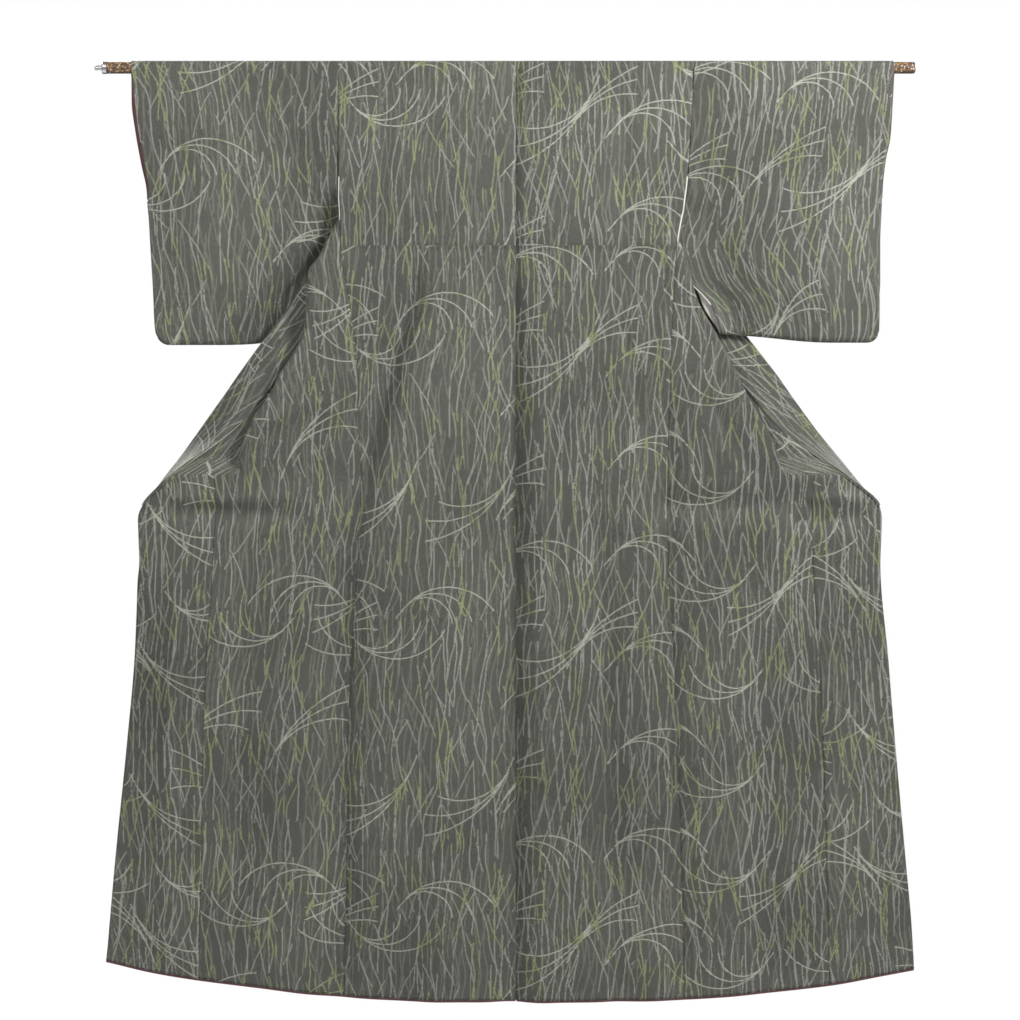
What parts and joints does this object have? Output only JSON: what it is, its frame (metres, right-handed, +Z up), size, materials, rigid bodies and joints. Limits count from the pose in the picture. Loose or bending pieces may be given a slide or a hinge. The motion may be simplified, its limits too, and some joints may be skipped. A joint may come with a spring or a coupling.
{
  "type": "kimono on a hanging rod",
  "caption": "Lined kimono hung open on a rod through both sleeves, back panels flat, fronts drawn out to the sides, collar band behind the neck.",
  "frame": {"origin": "on the axis of the hanging rod, at mid back", "axes": "+Z up along the hanging cloth, +X to the right seen from the garment's back, +Y out of its front"},
  "size_m": [1.41, 0.1014, 1.6189],
  "materials": {
    "patterned_cloth": "matt woven silk, near-black brown with fine pale dots and wavy grass lines",
    "dark_lining": "smooth brown-red silk lining",
    "white_lining": "smooth white silk lining",
    "rod_paint": "brown speckled paint",
    "bright_metal": "bright plated steel"
  },
  "bodies": {
    "root": {"body_panel_left": "patterned_cloth", "body_panel_right": "patterned_cloth", "sleeve_left": "patterned_cloth", "sleeve_right": "patterned_cloth", "overlap_panel_left": "patterned_cloth", "overlap_panel_right": "patterned_cloth", "collar_band": "patterned_cloth", "cuff_lining_left": "dark_lining", "cuff_lining_right": "dark_lining", "hem_roll_left": "dark_lining", "hem_roll_right": "dark_lining", "armhole_lining_right": "white_lining", "hanging_rod": "rod_paint", "rod_end_ferrule": "bright_metal", "rod_end_pin": "bright_metal"}
  },
  "joints": []
}
